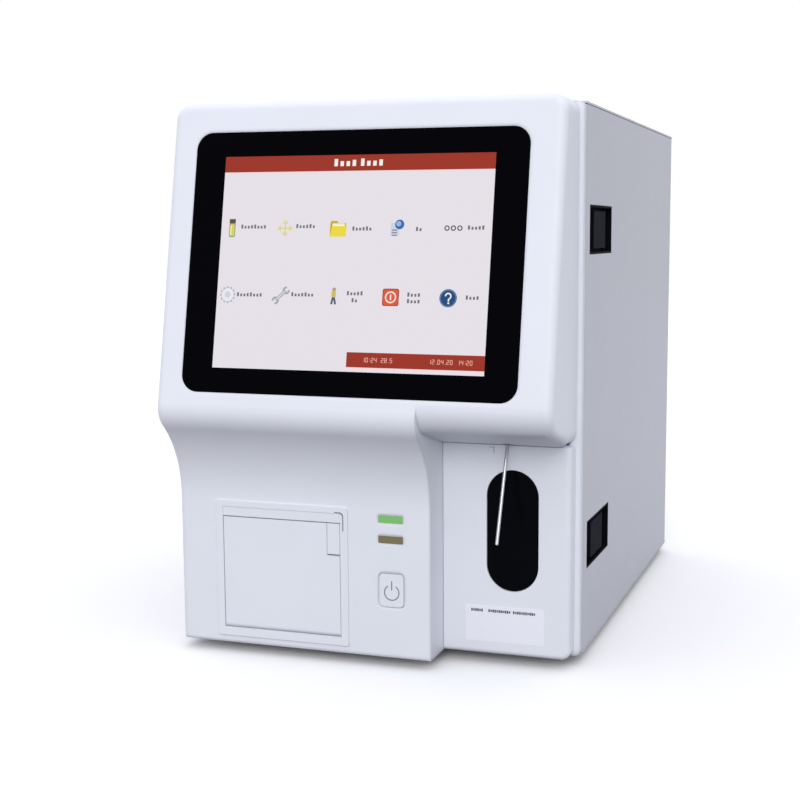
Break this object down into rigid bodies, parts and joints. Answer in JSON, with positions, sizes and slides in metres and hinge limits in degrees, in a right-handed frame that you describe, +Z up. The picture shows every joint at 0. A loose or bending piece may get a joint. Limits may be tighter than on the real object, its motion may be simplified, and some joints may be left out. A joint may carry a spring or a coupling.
{
  "type": "hematology analyzer",
  "caption": "Bench-top blood cell analyzer: tilted touch screen over a strip printer and an open sampling bay with a leaning probe, and a hinged service door.",
  "frame": {"origin": "under the middle of the whole box, on the surface that it stands on", "axes": "+Z up, front with the screen towards -Y, +X to the right seen from the front"},
  "size_m": [0.3166, 0.4846, 0.4225],
  "materials": {
    "case_white": "smooth off-white powder coat",
    "shell_white": "fine-grained off-white moulding",
    "black_plastic": "black moulding",
    "black_gloss": "polished black moulding",
    "dark_grey": "dark grey moulding",
    "screen_glass": "flush touch glass over a lit panel",
    "green_lens": "green diffusing lens",
    "amber_lens": "smoked amber lens",
    "sheet_steel": "zinc-plated sheet",
    "bright_steel": "ground and polished",
    "board_green": "circuit board with its parts",
    "clear_plastic": "clear acrylic",
    "rubber_black": "moulded rubber",
    "motor_grey": "dark grey painted can",
    "aluminium": "milled block"
  },
  "bodies": {
    "frame": {"alarm_lamp": "amber_lens", "base_pan": "sheet_steel", "bath_shelf": "sheet_steel", "bay_panel": "shell_white", "button_board": "board_green", "case_screws": "bright_steel", "data_ports": "sheet_steel", "display_module": "sheet_steel", "door_pins": "bright_steel", "fan_frame": "black_plastic", "feet": "rubber_black", "front_shell": "shell_white", "ground_stud": "bright_steel", "guide_bars": "bright_steel", "lift_frame": "sheet_steel", "lift_motor": "motor_grey", "main_board": "board_green", "mains_inlet": "black_plastic", "middle_wall": "sheet_steel", "paper_tray": "black_plastic", "power_supply": "sheet_steel", "print_head": "aluminium", "printer_bezel": "shell_white", "printer_pin": "bright_steel", "pump_housing": "motor_grey", "ready_lamp": "green_lens", "reagent_fittings": "bright_steel", "rear_panel": "case_white", "red_cell_bath": "clear_plastic", "rinse_block": "clear_plastic", "screen_glass": "screen_glass", "start_switch": "board_green", "switch_frame": "black_plastic", "syringe_barrels": "clear_plastic", "syringe_frame": "aluminium", "syringe_guide": "bright_steel", "syringe_motor": "motor_grey", "tear_bar": "shell_white", "top_left_cover": "case_white", "valve_bank": "motor_grey", "waste_chamber": "clear_plastic", "white_cell_bath": "clear_plastic"},
    "start_key": {"start_plate": "black_gloss"},
    "power_key": {"power_button": "shell_white"},
    "probe": {"probe_needle": "bright_steel", "probe_carriage": "aluminium"},
    "lift_spindle": {"lift_screw": "bright_steel"},
    "paper_cover": {"printer_door": "shell_white"},
    "cover_latch": {"printer_latch": "shell_white"},
    "roller": {"platen_roller": "rubber_black"},
    "service_door": {"side_door": "case_white", "upper_pull_frame": "black_plastic", "lower_pull_frame": "black_plastic"},
    "upper_handle": {"upper_pull": "dark_grey"},
    "lower_handle": {"lower_pull": "dark_grey"},
    "fan": {"fan_rotor": "black_plastic"},
    "mains_switch": {"switch_rocker": "black_gloss"},
    "plungers": {"syringe_plungers": "aluminium"},
    "syringe_spindle": {"syringe_screw": "bright_steel"},
    "pump": {"pump_rotor": "dark_grey"}
  },
  "joints": [
    {"name": "start_press", "type": "slide", "parent": "frame", "child": "start_key", "axis": [0, 1, 0], "range_m": [0, 0.003], "stiffness_N_per_m": 900, "springref_m": -0.001},
    {"name": "power_press", "type": "slide", "parent": "frame", "child": "power_key", "axis": [0, 1, 0], "range_m": [0, 0.0015], "stiffness_N_per_m": 1200, "springref_m": -0.001},
    {"name": "probe_lift", "type": "slide", "parent": "frame", "child": "probe", "axis": [0, 0.3746, 0.9272], "range_m": [0, 0.06]},
    {"name": "lift_turn", "type": "hinge", "parent": "frame", "child": "lift_spindle", "pos_m": [0.1066, -0.16218, 0.18802], "axis": [0, 0.3746, 0.9272], "range_deg": [0, 2160]},
    {"name": "cover_swing", "type": "hinge", "parent": "frame", "child": "paper_cover", "pos_m": [-0.0663, -0.20828, 0.0234], "axis": [1, 0, 0], "range_deg": [0, 80]},
    {"name": "latch_swing", "type": "hinge", "parent": "paper_cover", "child": "cover_latch", "pos_m": [-0.0229, -0.20988, 0.104], "axis": [-1, 0, 0], "range_deg": [0, 25], "stiffness_Nm_per_rad": 0.02, "springref_deg": -11.46},
    {"name": "roller_turn", "type": "hinge", "parent": "paper_cover", "child": "roller", "pos_m": [-0.0663, -0.20098, 0.098], "axis": [1, 0, 0], "continuous": true},
    {"name": "door_swing", "type": "hinge", "parent": "frame", "child": "service_door", "pos_m": [0.1548, 0.22282, 0.2139], "axis": [0, 0, 1], "range_deg": [0, 95]},
    {"name": "lower_pull_swing", "type": "hinge", "parent": "service_door", "child": "lower_handle", "pos_m": [0.1561, -0.08833, 0.0895], "axis": [0, 0, 1], "range_deg": [0, 40], "stiffness_Nm_per_rad": 0.05, "springref_deg": -17.19},
    {"name": "upper_pull_swing", "type": "hinge", "parent": "service_door", "child": "upper_handle", "pos_m": [0.1561, -0.08833, 0.3279], "axis": [0, 0, 1], "range_deg": [0, 40], "stiffness_Nm_per_rad": 0.05, "springref_deg": -17.19},
    {"name": "fan_turn", "type": "hinge", "parent": "frame", "child": "fan", "pos_m": [-0.09, 0.21382, 0.3], "axis": [0, 1, 0], "continuous": true},
    {"name": "switch_rock", "type": "hinge", "parent": "frame", "child": "mains_switch", "pos_m": [-0.055, 0.22482, 0.062], "axis": [1, 0, 0], "range_deg": [-24, 0]},
    {"name": "plunger_slide", "type": "slide", "parent": "frame", "child": "plungers", "axis": [0, 0, -1], "range_m": [0, 0.04]},
    {"name": "syringe_turn", "type": "hinge", "parent": "frame", "child": "syringe_spindle", "pos_m": [0.046, 0.08632, 0.1], "axis": [0, 0, 1], "range_deg": [0, 1440]},
    {"name": "pump_turn", "type": "hinge", "parent": "frame", "child": "pump", "pos_m": [0.0665, 0.16332, 0.15], "axis": [1, 0, 0], "continuous": true}
  ],
  "couplings": [
    {"joint": "lift_turn", "follows": "probe_lift", "rad_per_m": 628.32},
    {"joint": "syringe_turn", "follows": "plunger_slide", "rad_per_m": 628.32}
  ]
}
